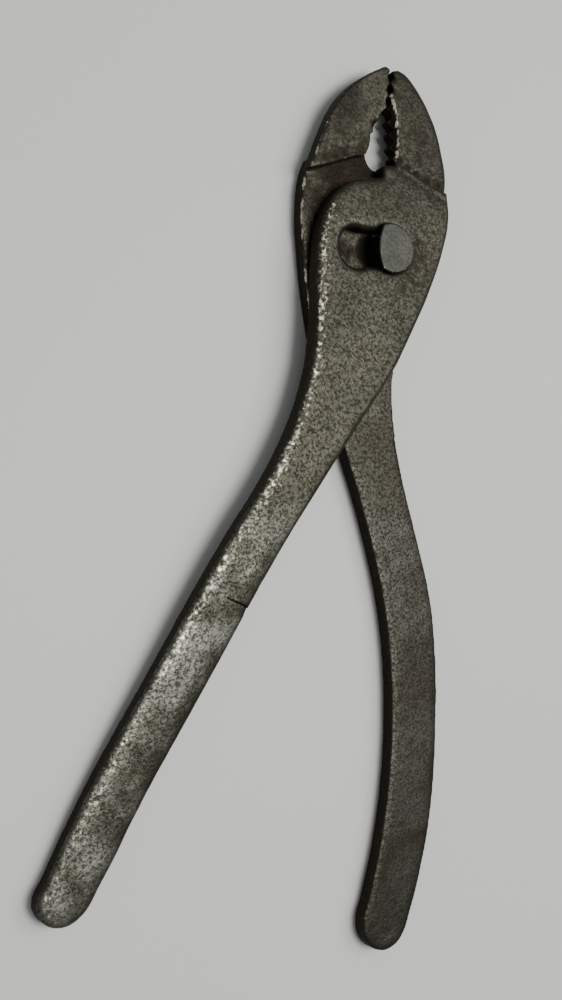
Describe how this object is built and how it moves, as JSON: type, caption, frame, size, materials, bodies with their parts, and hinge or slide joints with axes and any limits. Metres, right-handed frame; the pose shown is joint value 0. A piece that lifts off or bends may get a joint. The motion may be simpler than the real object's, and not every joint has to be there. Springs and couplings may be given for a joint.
{
  "type": "slip-joint pliers",
  "caption": "Two-position slip-joint pliers stamped from steel plate, with crossed halves, a slotted plate and a pivot pin.",
  "frame": {"origin": "on the pivot axis at the tool's flat underside, jaws closed and the pin in the near lobe of the slot", "axes": "+Y along the closed jaws towards their tips, +Z along the pivot axis out of the slotted side, +X towards the slotted half's jaw"},
  "size_m": [0.0764, 0.1613, 0.0075],
  "materials": {
    "slotted_half_steel": "old forged steel with an olive-grey patina, worn brighter along its edges",
    "pinned_half_steel": "old forged steel, darker and browner, with a stained step at the jaw",
    "pivot_pin_steel": "smooth worn steel with a bright chamfer",
    "pivot_nut_steel": "dull dark steel"
  },
  "bodies": {
    "slotted_half": {"slotted_half": "slotted_half_steel"},
    "slip_nut": {"pivot_nut": "pivot_nut_steel"},
    "pinned_half": {"pinned_half": "pinned_half_steel", "pivot_pin": "pivot_pin_steel"}
  },
  "joints": [
    {"name": "slip", "type": "slide", "parent": "slotted_half", "child": "slip_nut", "axis": [-0.9952, -0.0976, 0], "range_m": [0, 0.0071]},
    {"name": "jaw_pivot", "type": "hinge", "parent": "slip_nut", "child": "pinned_half", "pos_m": [0, 0, 0.00335], "axis": [0, 0, 1], "range_deg": [0, 75]}
  ]
}
